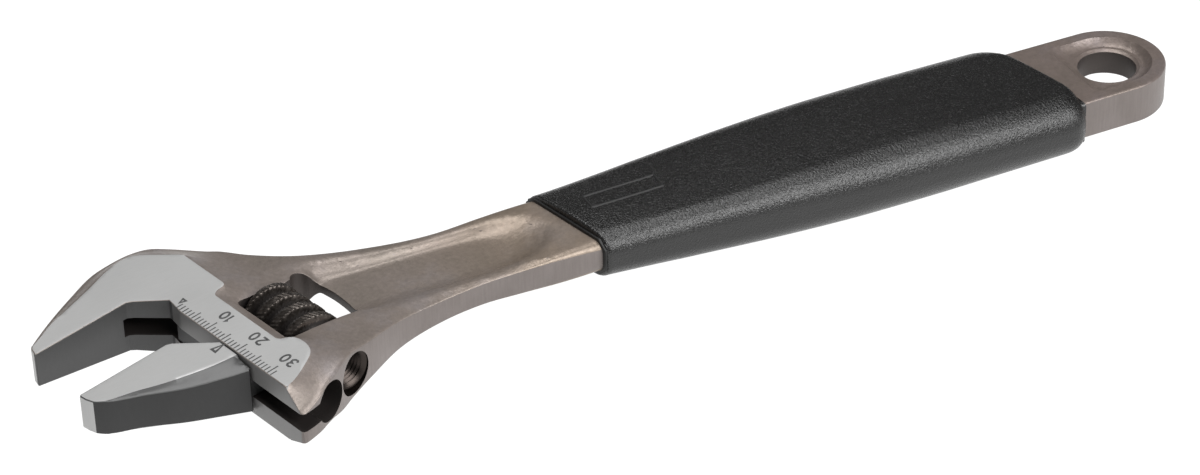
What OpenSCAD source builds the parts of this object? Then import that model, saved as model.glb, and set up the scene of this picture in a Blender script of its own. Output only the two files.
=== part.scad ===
// Adjustable wrench, 257 mm long, with a 31 mm jaw opening and a two-part grip.
// Row frame: the origin is the centre of the hang hole on the mid-plane, +X runs from the head to
// the hang ring, and +Z leaves the scale face. The head frame is turned by head_angle about Z:
// its x runs from the jaw tips to the handle, and its y runs from the moving to the fixed jaw.

/* [Head] */
// Angle between the jaw faces and the handle
head_angle = 15; // [12:0.5:18]
// Distance along the handle from the hang hole to the scale's zero
head_reach = 214; // [210:1:218]
// Distance sideways from the handle's axis to the scale's zero
head_offset = 4.6; // [4:0.1:5.2]
// Half thickness of the ground faces at the scale edge
face_half = 6.45; // [6.2:0.05:6.6]
// Rise of a ground face for each millimetre towards the handle
face_taper = 0.091; // [0.085:0.001:0.095]
// Length of the fixed jaw in front of the scale edge
jaw_length = 28.6; // [26:0.2:30]
// Distance from the scale's zero to the fixed jaw's face
fixed_face = 9.4; // [9:0.1:9.8]

/* [Opening] */
// Gap between the jaw faces as drawn
opening = 16.9; // [0:0.1:31]

/* [Worm and rack] */
// Lead of the left-hand worm, which is also the pitch of the rack
pitch = 4.6; // [4.4:0.1:4.8]
// Outer radius of the worm
worm_r = 7; // [6.8:0.05:7]
// Depth of the worm's thread
thread_depth = 2.2; // [2.15:0.05:2.25]
// Radius of the rack rod
rack_r = 4.1; // [4:0.05:4.1]
// Radius of the worm's pin
pin_r = 1.75; // [1.6:0.05:1.8]

/* [Handle] */
// Outer radius of the hang ring
ring_r = 12.8; // [12:0.1:13]
// Radius of the hang hole
hole_r = 6.4; // [6:0.1:6.6]
// Half thickness of the hang ring
ring_half = 4.6; // [4.4:0.1:4.8]
// Half width of the neck at its narrowest
neck_half = 10.9; // [10.6:0.1:11.2]
// Half thickness of the neck at its thinnest
waist_half = 2.9; // [2.8:0.1:3.1]
// Half thickness of the web in the neck's recess
web_half = 1; // [0.9:0.1:1.3]

/* [Grip] */
// Half width of the grip at its widest
grip_half = 17.3; // [16.8:0.1:18]
// Half thickness of the grip at its thickest
grip_thick = 7.8; // [7.5:0.1:8.2]
// Distance from the hang hole to the front edge, measured square to that edge
grip_front = 126.2; // [125:0.1:127]
// Distance from the hang hole to the rear edge, measured square to that edge
grip_rear = 17; // [16.5:0.1:18]

/* [Hidden] */
$fn = 64;
eps = 0.01;
drawn_opening = 16.9;

steel_brown = [0.46, 0.42, 0.39];
steel_ground = [0.7, 0.7, 0.69];
steel_black = [0.14, 0.13, 0.13];
rubber_black = [0.16, 0.16, 0.17];

// Slot and bore of the sliding jaw
slot_half = 2.1;
web_half_height = 1.95;
scale_edge = -0.7;
rack_x = 8;
bore_clearance = 0.15;
bore_blind_y = 22;
slot_end = 10.4;
slot_blind_y = 19.5;
lobe_y = -40.7;
slide_shift = opening - drawn_opening;

// Worm window and the worm's axle
worm_x = 17.1;
window_far = -5.5;
window_near = -22.6;
window_front = 10.8;
worm_start = 5.8;
worm_end = 22.4;
crest_over_rack = 5.55;
worm_clearance = 0.4;
worm_turn = 360 * slide_shift / pitch;
axle_bore_r = pin_r + 0.1;
screw_r = 3.4;
screw_start = 23.2;
screw_end = 29;
near_wall_y = -34;
spring_length = 4.3;
spring_pocket = 4.5;
spring_r = 2.8;

// Plan curves where the neck widens into the head
far_flare_r = 90;
far_flare_x = -156;
near_flare_r = 62;
near_flare_x = -150.5;
shoulder_x = -129;
shoulder_half = 11.3;
shank_half_height = 3.65;
waist_x = -157;
waist_r = 183;
core_wall = 0.75;
corner_cut = 1.6;
corner_slope = 0.79;

// Half thickness of a ground face at head x
function face_z(x) = face_half + face_taper * x;

// Half thickness of the handle at row x: a straight shank that meets the waist's arc
function shank_z(x) = shank_half_height
    + (ring_half - shank_half_height) * min(1, (x - shoulder_x) / (-16 - shoulder_x));
function waist_z(x) = waist_half + pow(x - waist_x, 2) / (2 * waist_r);
function handle_z(x) = x > waist_x ? min(shank_z(x), waist_z(x)) : waist_z(x);

// An arc of a circle as points
function arc(centre, r, from, sweep, steps) =
    [for (i = [0:steps]) centre + r * [cos(from + sweep * i / steps), sin(from + sweep * i / steps)]];
function unit(v) = v / norm(v);
function heading(v) = atan2(v[1], v[0]);
function wrapped(a) = a > 180 ? a - 360 : a < -180 ? a + 360 : a;
// The tangent arc at corner b between its neighbours a and c
function corner(a, b, c, r) =
    let (u = unit(a - b), v = unit(c - b), half = acos(u * v) / 2,
         centre = b + unit(u + v) * r / sin(half),
         start = heading(b + u * r / tan(half) - centre),
         stop = heading(b + v * r / tan(half) - centre))
    arc(centre, r, start, wrapped(stop - start), r > 10 ? 24 : 8);
function point(p) = [p[0], p[1]];
// An outline given by its corners [x, y, radius]
function rounded(p) =
    [for (i = [0:len(p) - 1])
        let (a = point(p[(i + len(p) - 1) % len(p)]), b = point(p[i]), c = point(p[(i + 1) % len(p)]))
        each (p[i][2] > 0 ? corner(a, b, c, p[i][2]) : [b])];

// Places its children in the head frame
module in_head() {
    translate([-head_reach, head_offset, 0]) rotate([0, 0, head_angle]) children();
}

// Turns a shape drawn along local z so that it runs from the fixed jaw to the moving jaw
module along_slide(x) {
    translate([x, 0, 0]) rotate([90, 0, 0]) children();
}

// A slab whose top and bottom are the two ground faces, and which falls away behind the window
module ground_wedge() {
    top = [[-32, face_z(-32)], [11, face_z(11)], [19.8, 4.8], [34, 3.8], [48, 5], [240, 6]];
    translate([0, 40, 0]) rotate([90, 0, 0]) linear_extrude(height = 120)
        polygon(concat(top, [for (i = [len(top) - 1:-1:0]) [top[i][0], -top[i][1]]]));
}

// Outline of the head: the fixed jaw, the hump over it, the lobe and the throat
module head_outline() {
    polygon(rounded([
        [-jaw_length, fixed_face, 0.3], [0.6 - jaw_length, fixed_face + 2.6, 0.6], [2.3, 28.7, 16],
        [24, 9.1, 0], [30, -5, 0], [22, -28, 0], [15.5, -34.8, 0], [4.2, -39.9, 4],
        [scale_edge, lobe_y, 0.6], [scale_edge, -1, 0], [-0.1, 2.4, 0], [-0.1, fixed_face - 5.8, 0.8],
        [-5.9, fixed_face, 2]]));
}

// Outline of the neck, the shank and the ring
module handle_outline() {
    far = [for (t = [30:-2:0]) [far_flare_x - far_flare_r * sin(t),
                                neck_half + far_flare_r * (1 - cos(t)) - 0.3]];
    near = [for (t = [0:2:40]) [near_flare_x - near_flare_r * sin(t),
                                -neck_half - near_flare_r * (1 - cos(t))]];
    polygon(concat(far, [[shoulder_x, shoulder_half], [-14, ring_r + 0.3], [0, ring_r],
                         [0, -ring_r], [-14, -ring_r - 0.3], [shoulder_x, -shoulder_half]], near));
    circle(r = ring_r);
}

// Side profile of the handle, extruded across its width
module handle_profile(grow = 0) {
    xs = concat([for (x = [-201:3:shoulder_x - 1]) x], [shoulder_x, -16, ring_r + 1]);
    last = len(xs) - 1;
    translate([0, 45, 0]) rotate([90, 0, 0]) linear_extrude(height = 90)
        polygon(concat([for (x = xs) [x, handle_z(x) + grow]],
                       [for (i = [last:-1:0]) [xs[i], -handle_z(xs[i]) - grow]]));
}

// Cuts one edge of the lobe back at an angle
module lobe_chamfer(angle) {
    translate([-4, -36, 6.4]) rotate([angle, 0, 0]) translate([0, -10, 0]) cube([18, 14, 8]);
}

// The window that the worm turns in, with its arched back
module worm_window() {
    linear_extrude(height = 30, center = true) intersection() {
        translate([window_front, window_near]) square([25, window_far - window_near]);
        translate([13.5, -13.2]) circle(r = 17);
    }
    translate([0, window_far, 0]) along_slide(worm_x)
        cylinder(r = worm_r + worm_clearance, h = window_far - window_near);
}

// Channel for the jaw's web, and the bore for its rack rod
module rack_channel() {
    linear_extrude(height = 2 * slot_half, center = true) polygon([
        [-3, lobe_y - 2], [rack_x, lobe_y - 2], [rack_x, slot_blind_y], [-0.5, slot_blind_y],
        [-7.5, slot_end], [-7.5, 6], [-3, 1.5]]);
    translate([0, bore_blind_y, 0]) along_slide(rack_x)
        cylinder(r = rack_r + bore_clearance, h = bore_blind_y - lobe_y + 10);
}

// Blind hole for the pin's end, and the screw's hole with its counterbore
module axle_holes() {
    translate([0, 3, 0]) along_slide(worm_x) cylinder(r = axle_bore_r, h = 3 - window_far + 1);
    translate([0, window_near + 1, 0]) along_slide(worm_x) cylinder(r = screw_r + 0.05, h = 20);
    translate([0, near_wall_y + 1.6, 0]) along_slide(worm_x) cylinder(r = 4.5, h = 10);
}

// Recess in one face of the neck
module neck_recess() {
    translate([0, 0, web_half]) linear_extrude(height = 6) {
        translate([-152.5, 0]) circle(r = 6.5);
        translate([-183, -6.5]) square([30.5, 13]);
    }
}

// Hang hole with a countersunk recess in each face
module hang_hole() {
    cylinder(r = hole_r, h = 12, center = true);
    for (side = [0, 1]) mirror([0, 0, side]) {
        translate([0, 0, 2.45]) cylinder(r1 = 7.2, r2 = 9.9, h = ring_half - 2.45 + 0.2);
        translate([-8.6, -8.4, 3.3]) cube([8.6, 16.8, 2]);
    }
}

module body() {
    color(steel_brown) difference() {
        union() {
            in_head() intersection() {
                linear_extrude(height = 20, center = true) head_outline();
                ground_wedge();
            }
            intersection() {
                linear_extrude(height = 20, center = true) handle_outline();
                handle_profile();
                in_head() ground_wedge();
            }
        }
        in_head() {
            worm_window();
            rack_channel();
            axle_holes();
            lobe_chamfer(42);
            mirror([0, 0, 1]) lobe_chamfer(19);
        }
        for (side = [0, 1]) mirror([0, 0, side]) neck_recess();
        intersection() {
            corner_cuts(0);
            linear_extrude(height = 30, center = true) grip_plan(grip_front + 0.4, grip_rear);
        }
        hang_hole();
    }
}

// One groove of the rack, leaning by the worm's lead angle
module rack_groove() {
    floor_x = worm_x - worm_r - 0.5;
    lead_angle = atan(pitch / (2 * PI * (worm_r - thread_depth / 2)));
    rotate([lead_angle, 0, 0]) linear_extrude(height = 14, center = true)
        polygon([[floor_x, -0.8], [floor_x + 3, -1.65], [floor_x + 3, 1.65], [floor_x, 0.8]]);
}

// Moving jaw, drawn with its face on y = 0 and then moved to the opening
module sliding_jaw() {
    back = scale_edge - 0.2;
    rod_far = 10.9;
    rod_near = -22.5;
    web_far = 8.8;
    first_groove = drawn_opening - fixed_face - crest_over_rack;
    color(steel_ground) in_head() translate([0, fixed_face - opening, 0]) difference() {
        union() {
            intersection() {
                linear_extrude(height = 20, center = true) polygon(rounded([
                    [-jaw_length - 1.3, 0, 0.4], [-8.6, 0, 2], [back, -7.7, 0.4], [back, -17.7, 0.4],
                    [-13, -13.1, 25], [-27, -5.9, 2], [-jaw_length - 0.6, -3.8, 0.5]]));
                translate([0, -34, 0]) ground_wedge();
            }
            translate([back - 1, -17, -web_half_height])
                cube([rack_x - back + 1, 9.4, 2 * web_half_height]);
            translate([-0.2, -9, -web_half_height])
                cube([rack_x + 0.2, web_far + 9, 2 * web_half_height]);
            translate([0, rod_far, 0]) along_slide(rack_x) cylinder(r = rack_r, h = rod_far - rod_near);
        }
        for (n = [-2:5]) translate([0, first_groove - n * pitch, 0]) rack_groove();
    }
}

// Section of the worm square to its axis: a crest, two flanks and the root
function thread_r(a) = let (t = abs(wrapped(a)))
    t < 50 ? worm_r : t > 100 ? worm_r - thread_depth : worm_r - thread_depth * (t - 50) / 50;

// Knurled worm with its left-hand thread and the pocket for its spring
module worm_knurl() {
    length = worm_end - worm_start;
    first_crest = 180 + 360 * (crest_over_rack - worm_start) / pitch;
    color(steel_black) in_head() along_slide(worm_x) translate([0, 0, worm_start]) difference() {
        rotate([0, 0, first_crest + worm_turn])
            linear_extrude(height = length, twist = 360 * length / pitch, slices = 64, $fn = 30)
                polygon([for (a = [0:12:348]) thread_r(a) * [cos(a), sin(a)]]);
        translate([0, 0, -1]) cylinder(r = axle_bore_r, h = length + 2);
        translate([0, 0, -1]) cylinder(r = spring_r + 0.3, h = spring_pocket + 1);
    }
}

// Screw pin that carries the worm, with a driver slot in its head
module worm_pin() {
    color(steel_black) in_head() along_slide(worm_x) difference() {
        union() {
            translate([0, 0, -2.6]) cylinder(r = pin_r, h = screw_start + 2.6 + 1);
            translate([0, 0, screw_start]) cylinder(r = screw_r, h = screw_end - screw_start);
        }
        translate([-0.5, -4, screw_end - 1.3]) cube([1, 8, 2]);
    }
}

// Spring that takes up the worm's play
module worm_spring() {
    turns = 4;
    inner = spring_r - 0.6;
    color(steel_ground) in_head() along_slide(worm_x) translate([0, 0, worm_start - 0.15])
        linear_extrude(height = spring_length, twist = 360 * turns, slices = 12 * turns, $fn = 13)
            polygon(concat(arc([0, 0], spring_r, 0, 180, 6), arc([0, 0], inner, 180, -180, 6)));
}

// Plan of the grip: two edges square to the jaw faces' direction, and rounded rear corners
module grip_plan(front, rear, half = 24) {
    rotate([0, 0, head_angle])
        polygon(rounded([[-front, -half - 30, 0], [-front, half + 30, 0],
                         [-rear, half + 30, 0], [-rear, -half - 30, 0]]));
}

// Cuts for the shank's four long corners, where it runs inside the grip
module corner_cuts(grow) {
    start = (shoulder_half + shank_half_height - corner_cut) / sqrt(2) + grow;
    for (far = [0, 1], under = [0, 1]) mirror([0, far, 0]) mirror([0, 0, under])
        rotate([-45, 0, 0]) translate([shoulder_x - 12, -20, start])
            rotate([0, -corner_slope, 0]) cube([150, 40, 12]);
}

// Solid that the shank fills, grown by a wall
module shank_solid(grow) {
    difference() {
        intersection() {
            linear_extrude(height = 30, center = true) polygon([
                [shoulder_x - 12, shoulder_half + grow], [-14, ring_r + 0.3 + grow],
                [0, ring_r + grow], [0, -ring_r - grow], [-14, -ring_r - 0.3 - grow],
                [shoulder_x - 12, -shoulder_half - grow]]);
            handle_profile(grow);
        }
        corner_cuts(grow);
    }
}

// Hard inner sleeve, whose front rim shows as a dark line
module grip_core() {
    color(steel_black) difference() {
        intersection() {
            shank_solid(core_wall);
            linear_extrude(height = 30, center = true) grip_plan(grip_front + 0.4, grip_rear + 0.6);
        }
        shank_solid(0);
    }
}

// Thin slice of the grip at row x: half width a, half height h
module grip_slice(x, a, h) {
    r = h * 0.82;
    translate([x, 0, 0]) rotate([90, 0, 90]) linear_extrude(height = 0.1)
        polygon(rounded([[-a, -h, r], [a, -h, r], [a, h, r], [-a, h, r]]));
}

// Soft cover, swelling from the neck to the palm
module grip_cover() {
    stations = [[-136, 0.73, 0.65], [-115, 0.78, 0.76], [-95, 0.88, 0.87], [-75, 0.96, 0.96],
                [-52, 0.99, 1], [-30, 1, 0.97], [-8, 1, 0.92]];
    color(rubber_black) difference() {
        intersection() {
            union() for (i = [0:len(stations) - 2]) hull() {
                for (s = [stations[i], stations[i + 1]])
                    grip_slice(s[0], s[1] * grip_half, s[2] * grip_thick);
            }
            linear_extrude(height = 30, center = true) grip_plan(grip_front, grip_rear);
        }
        shank_solid(core_wall);
    }
}

body();
sliding_jaw();
worm_knurl();
worm_pin();
worm_spring();
grip_core();
grip_cover();
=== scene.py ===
"""Looks of an adjustable wrench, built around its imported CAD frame. Lengths are in millimetres
until mesh_object() scales them to metres. Head coordinates (u, j): u is the direction that the
jaw opens in, and j runs from the jaw tips towards the handle."""
import math
import bpy
import numpy as np
from mathutils import Matrix, Vector
from mathutils.geometry import delaunay_2d_cdt


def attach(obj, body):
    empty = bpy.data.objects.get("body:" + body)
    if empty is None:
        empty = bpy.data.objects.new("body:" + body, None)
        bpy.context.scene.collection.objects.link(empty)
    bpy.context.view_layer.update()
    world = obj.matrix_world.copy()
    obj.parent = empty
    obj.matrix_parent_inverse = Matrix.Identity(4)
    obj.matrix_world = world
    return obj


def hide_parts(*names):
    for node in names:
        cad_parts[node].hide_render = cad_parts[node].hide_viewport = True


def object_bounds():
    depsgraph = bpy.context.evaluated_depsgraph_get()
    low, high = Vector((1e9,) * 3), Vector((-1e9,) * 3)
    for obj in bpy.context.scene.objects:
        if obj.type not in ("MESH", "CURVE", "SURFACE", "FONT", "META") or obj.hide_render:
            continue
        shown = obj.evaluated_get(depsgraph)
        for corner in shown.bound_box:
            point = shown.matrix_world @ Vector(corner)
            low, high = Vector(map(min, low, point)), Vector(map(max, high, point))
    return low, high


MM = 0.001
HEAD_ANGLE = math.radians(15.0)
HEAD_AT = np.array([-214.0, 4.6])
J = np.array([math.cos(HEAD_ANGLE), math.sin(HEAD_ANGLE)])
U = np.array([math.sin(HEAD_ANGLE), -math.cos(HEAD_ANGLE)])
FACE_HALF, FACE_TAPER = 6.45, 0.091
RACK_J, RACK_R, BORE_R = 8.0, 4.1, 4.25
WORM_J, WORM_R, WORM_ROOT = 17.1, 7.0, 4.8
PITCH, CREST_OVER_RACK = 4.6, 5.55
WORM_ENDS = (5.8, 22.4)
SLOT_HALF, WEB_HALF = 2.1, 1.95
THREAD_START, THREAD_PITCH, THREAD_TURNS = 22.6, 0.9, 10
THREAD_MINOR, THREAD_MAJOR, COUNTERBORE_R = 3.45, 3.95, 4.55
MARK_HEIGHT = 0.015

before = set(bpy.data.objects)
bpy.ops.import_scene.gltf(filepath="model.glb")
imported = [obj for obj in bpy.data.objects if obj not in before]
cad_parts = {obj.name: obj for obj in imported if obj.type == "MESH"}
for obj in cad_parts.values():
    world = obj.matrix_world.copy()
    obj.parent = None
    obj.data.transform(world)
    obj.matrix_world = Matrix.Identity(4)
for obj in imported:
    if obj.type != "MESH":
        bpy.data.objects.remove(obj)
cad_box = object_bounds()


# ---------------------------------------------------------------- plan curves
def head(u, j):
    return HEAD_AT + np.multiply.outer(j, J) + np.multiply.outer(u, U)


def hp(u, j, *rest):
    """A head point as a row-frame point with its height and rounding after it."""
    x, y = head(u, j)
    return (x, y) + rest


def head_j(xy):
    return (xy - HEAD_AT) @ J


def head_u(xy):
    return (xy - HEAD_AT) @ U


def ground(j):
    """Half thickness of the ground faces at head coordinate j."""
    return FACE_HALF + FACE_TAPER * j


def line(points, step):
    """Straight runs through the points, no two samples further apart than step."""
    p = np.array(points, float)
    out = [p[:1]]
    for a, b in zip(p[:-1], p[1:]):
        n = max(1, int(math.ceil(np.linalg.norm((b - a)[:2]) / step)))
        t = np.linspace(0, 1, n + 1)[1:, None]
        out.append(a + (b - a) * t)
    return np.vstack(out)


def curve(points, step):
    """A smooth curve through the points."""
    p = np.array(points, float)
    d = np.linalg.norm(np.diff(p[:, :2], axis=0), axis=1)
    t = np.concatenate([[0], np.cumsum(d)])
    m = np.empty_like(p)
    m[1:-1] = (p[2:] - p[:-2]) / (t[2:] - t[:-2])[:, None]
    m[0] = 2 * (p[1] - p[0]) / (t[1] - t[0]) - m[1]
    m[-1] = 2 * (p[-1] - p[-2]) / (t[-1] - t[-2]) - m[-2]
    s = np.linspace(0, t[-1], max(2, int(math.ceil(t[-1] / step)) + 1))
    k = np.clip(np.searchsorted(t, s, side="right") - 1, 0, len(t) - 2)
    h = (t[k + 1] - t[k])[:, None]
    x = ((s - t[k])[:, None]) / h
    return ((1 + 2 * x) * (1 - x) ** 2 * p[k] + x * (1 - x) ** 2 * h * m[k]
            + x * x * (3 - 2 * x) * p[k + 1] + x * x * (x - 1) * h * m[k + 1])


def arc(centre, r, start, stop, step, *rest):
    """An arc in degrees, with constant values after each point's x and y."""
    n = max(2, int(abs(math.radians(stop - start)) * r / step) + 1)
    a = np.radians(np.linspace(start, stop, n))
    xy = np.array(centre) + r * np.stack([np.cos(a), np.sin(a)], 1)
    return np.hstack([xy, np.tile(rest, (n, 1))]) if rest else xy


def join(*parts):
    """Curves end to end, without repeated points."""
    out = [np.atleast_2d(parts[0])]
    for p in parts[1:]:
        p = np.atleast_2d(p)
        if np.linalg.norm(p[0, :2] - out[-1][-1, :2]) < 1e-4:
            p = p[1:]
        out.append(p)
    loop = np.vstack(out)
    return loop[:-1] if np.linalg.norm(loop[0, :2] - loop[-1, :2]) < 1e-4 else loop


def inside(points, polygon):
    """Which points are in the polygon."""
    x, y = points[:, 0], points[:, 1]
    hit = np.zeros(len(points), bool)
    a = polygon
    b = np.roll(polygon, -1, axis=0)
    for (ax, ay), (bx, by) in zip(a[:, :2], b[:, :2]):
        if ay == by:
            continue
        cross = (ay > y) != (by > y)
        hit ^= cross & (x < (bx - ax) * (y - ay) / (by - ay) + ax)
    return hit


# ---------------------------------------------------------------- meshes
def mesh_object(name, verts, faces, mats, indices=None, sharp=32.0, scale=MM):
    me = bpy.data.meshes.new(name)
    me.from_pydata((np.asarray(verts) * scale).tolist(), [], [list(f) for f in faces])
    for m in mats:
        me.materials.append(m)
    if indices is not None:
        me.polygons.foreach_set("material_index", np.asarray(indices, np.int32))
    me.validate()
    finish_normals(me, sharp)
    ob = bpy.data.objects.new(name, me)
    bpy.context.scene.collection.objects.link(ob)
    return ob


def finish_normals(me, sharp):
    me.polygons.foreach_set("use_smooth", np.ones(len(me.polygons), bool))
    me.set_sharp_from_angle(angle=math.radians(sharp))
    me.update()


def outward(loop):
    """Unit normals that leave a counterclockwise loop, lengthened at corners."""
    p = loop[:, :2]
    e = np.roll(p, -1, 0) - p
    e /= np.linalg.norm(e, axis=1)[:, None]
    n = np.stack([e[:, 1], -e[:, 0]], 1)
    m = n + np.roll(n, 1, 0)
    m /= np.linalg.norm(m, axis=1)[:, None]
    return m / np.clip((m * n).sum(1), 0.45, 1)[:, None]


def relax(xy, edges, fixed, z, rounds=600):
    """Stretches a membrane between the fixed heights, by conjugate gradients."""
    a, b = edges[:, 0], edges[:, 1]
    w = 1 / np.maximum(np.linalg.norm(xy[a] - xy[b], axis=1), 0.05)
    n = len(xy)
    deg = np.maximum(np.bincount(a, w, n) + np.bincount(b, w, n), 1e-9)

    def lap(v):
        return deg * v - np.bincount(a, w * v[b], n) - np.bincount(b, w * v[a], n)

    free = ~fixed
    x = np.where(free, 0.0, z)
    r = np.where(free, -lap(x), 0.0)
    v = np.where(free, np.mean(z[fixed]), 0.0)
    r -= np.where(free, lap(v), 0.0)
    d = r / deg
    s = d.copy()
    rs = (r * d).sum()
    for _ in range(rounds):
        q = np.where(free, lap(s), 0.0)
        step = rs / max((s * q).sum(), 1e-20)
        v += step * s
        r -= step * q
        d = r / deg
        new = (r * d).sum()
        if new < 1e-12:
            break
        s = d + new / rs * s
        rs = new
    return x + v


def relief(outline, holes, features, flat, flat_height, spacing, soften, bottom=None, seed=7):
    """A solid that is symmetric about z = 0. outline and holes are loops of (x, y, height, rounding);
    features are open polylines of (x, y, height). Inside the polygon flat, the height is
    flat_height(xy). spacing(xy) thins the grid; soften is a list of (polyline, radius, passes)."""
    loops = [outline] + holes
    normals = [outward(outline)] + [-outward(h) for h in holes]
    inset = []
    for loop, nrm in zip(loops, normals):
        inset.append(loop[:, :2] - nrm * loop[:, 3:4])
    points, heights, edges, wall = [], [], [], []
    for loop, nrm, ins in zip(loops, normals, inset):
        k = len(points)
        n = len(loop)
        points += ins.tolist()
        heights += loop[:, 2].tolist()
        wall += [(nrm[i], loop[i, 3]) for i in range(n)]
        edges += [(k + i, k + (i + 1) % n) for i in range(n)]
    for f in features:
        k = len(points)
        points += f[:, :2].tolist()
        heights += f[:, 2].tolist()
        wall += [None] * len(f)
        edges += [(k + i, k + i + 1) for i in range(len(f) - 1)]
    fixed_pts = np.array(points)
    lo, hi = fixed_pts.min(0), fixed_pts.max(0)
    rng = np.random.default_rng(seed)
    grid = []
    for size in sorted(set(s for _, s in spacing)):
        ys = np.arange(lo[1], hi[1], size * 0.866)
        xs = np.arange(lo[0], hi[0], size)
        gx, gy = np.meshgrid(xs, ys)
        gx = gx + (np.arange(len(ys)) % 2)[:, None] * size / 2
        g = np.stack([gx.ravel(), gy.ravel()], 1)
        g += rng.uniform(-0.04, 0.04, g.shape) * size
        keep = np.zeros(len(g), bool)
        for (x0, x1), s in spacing:
            if s == size:
                keep |= (g[:, 0] >= x0) & (g[:, 0] < x1)
        grid.append((g[keep], size))
    kept = []
    for g, size in grid:
        g = g[inside(g, inset[0])]
        for h in inset[1:]:
            g = g[~inside(g, h)]
        cell = {}
        for p in fixed_pts:
            cell.setdefault((int(p[0] // size), int(p[1] // size)), []).append(p)
        ok = []
        for p in g:
            cx, cy = int(p[0] // size), int(p[1] // size)
            near = [q for ix in (-1, 0, 1) for iy in (-1, 0, 1) for q in cell.get((cx + ix, cy + iy), ())]
            if not near or min((p[0] - q[0]) ** 2 + (p[1] - q[1]) ** 2 for q in near) > (0.55 * size) ** 2:
                ok.append(p)
        kept += ok
    n_fixed = len(points)
    points += [list(p) for p in kept]
    co, _, faces, orig, _, _ = delaunay_2d_cdt([Vector(p) for p in points], edges, [], 0, 1e-4, True)
    xy = np.array([(v[0], v[1]) for v in co])
    tri = np.array([f for f in faces if len(f) == 3])
    mid = xy[tri].mean(1)
    good = inside(mid, inset[0])
    for h in inset[1:]:
        good &= ~inside(mid, h)
    tri = tri[good]
    area = np.cross(xy[tri[:, 1]] - xy[tri[:, 0]], xy[tri[:, 2]] - xy[tri[:, 0]])
    tri[area < 0] = tri[area < 0][:, ::-1]
    tri = tri[np.abs(area) > 1e-9]
    src = [min([k for k in o if k < n_fixed], default=-1) for o in orig]
    z = np.array([heights[k] if k >= 0 else 0.0 for k in src])
    fixed = np.array([k >= 0 for k in src])
    new = [i for i, o in enumerate(orig) if not o]
    pairs = np.sort(np.vstack([tri[:, [0, 1]], tri[:, [1, 2]], tri[:, [2, 0]]]), axis=1)
    pairs, count = np.unique(pairs, axis=0, return_counts=True)
    if flat is not None:
        on_flat = inside(xy, flat)
        top = flat_height(xy)
        near_flat = on_flat | (fixed & (np.abs(z - top) < 1e-6))
        z = np.where(on_flat, top, z)
        fixed |= on_flat
    else:
        near_flat = np.zeros(len(xy), bool)
    used = np.zeros(len(xy), bool)
    used[tri.ravel()] = True
    fixed |= ~used
    z = relax(xy, pairs, fixed, z)
    for poly, radius, passes in soften:
        q = poly[:, :2]
        d = np.full(len(xy), 1e9)
        for p in q:
            d = np.minimum(d, np.hypot(xy[:, 0] - p[0], xy[:, 1] - p[1]))
        weight = np.clip(1 - d / radius, 0, 1) ** 0.7
        edge_v = np.zeros(len(xy), bool)
        edge_v[pairs[count == 1].ravel()] = True
        weight[edge_v | near_flat] = 0
        a, b = pairs[:, 0], pairs[:, 1]
        deg = np.maximum(np.bincount(a, minlength=len(xy)) + np.bincount(b, minlength=len(xy)), 1)
        for _ in range(passes):
            avg = (np.bincount(a, z[b], len(xy)) + np.bincount(b, z[a], len(xy))) / deg
            z += weight * 0.6 * (avg - z)
    # boundary edges, directed as the triangles have them
    directed = np.vstack([tri[:, [0, 1]], tri[:, [1, 2]], tri[:, [2, 0]]])
    key = {}
    for a, b in directed:
        key[(a, b)] = True
    rim = [(a, b) for a, b in key if (b, a) not in key]
    follow = dict(rim)
    before = {b: a for a, b in rim}
    data = {}
    for v in follow:
        if src[v] >= 0 and wall[src[v]] is not None:
            data[v] = wall[src[v]]
    for v in follow:
        if v not in data:
            a, b = before[v], follow[v]
            pa, pb = data.get(a), data.get(b)
            pick = pa or pb
            data[v] = pick
    steps = 4
    zb = z if bottom is None else bottom(xy, z)
    verts = np.vstack([np.column_stack([xy, z]), np.column_stack([xy, -zb])])
    n = len(xy)
    faces_out = [tuple(t) for t in tri] + [tuple(t[::-1] + n) for t in tri]
    flat_tri = near_flat[tri].all(1)
    mat = [1 if f else 0 for f in flat_tri] * 2
    extra = []
    rows = {}
    for v in follow:
        nrm, r = data[v]
        ids = [v]
        for k in range(1, steps + 1):
            a = math.pi / 2 * k / steps
            p = xy[v] + nrm * r * math.sin(a)
            extra.append((p[0], p[1], z[v] - r * (1 - math.cos(a))))
            ids.append(2 * n + len(extra) - 1)
        for k in range(steps, 0, -1):
            a = math.pi / 2 * k / steps
            p = xy[v] + nrm * r * math.sin(a)
            extra.append((p[0], p[1], -zb[v] + r * (1 - math.cos(a))))
            ids.append(2 * n + len(extra) - 1)
        ids.append(v + n)
        rows[v] = ids
    for a, b in rim:
        ra, rb = rows[a], rows[b]
        for k in range(len(ra) - 1):
            faces_out.append((ra[k], ra[k + 1], rb[k + 1], rb[k]))
            mat.append(0)
    verts = np.vstack([verts, np.array(extra)])
    live = np.zeros(len(verts), bool)
    for f in faces_out:
        live[list(f)] = True
    index = np.cumsum(live) - 1
    return verts[live], [tuple(index[list(f)]) for f in faces_out], mat


def lathe(profile, axis_at, along, sides=48):
    """A closed turned solid. profile is [(distance along, radius)], radii at the ends may be 0."""
    w = np.array([along[0], along[1], along[2]], float)
    e1 = np.cross(w, [0, 0, 1.0])
    e1 /= np.linalg.norm(e1)
    e2 = np.cross(w, e1)
    verts, faces = [], []
    for t, r in profile:
        for k in range(sides):
            a = 2 * math.pi * k / sides
            verts.append(np.array(axis_at) + w * t + e1 * r * math.cos(a) + e2 * r * math.sin(a))
    for i in range(len(profile) - 1):
        for k in range(sides):
            k2 = (k + 1) % sides
            faces.append((i * sides + k, i * sides + k2, (i + 1) * sides + k2, (i + 1) * sides + k))
    faces.append(tuple(range(sides - 1, -1, -1)))
    faces.append(tuple(range((len(profile) - 1) * sides, len(profile) * sides)))
    return verts, faces


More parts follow.
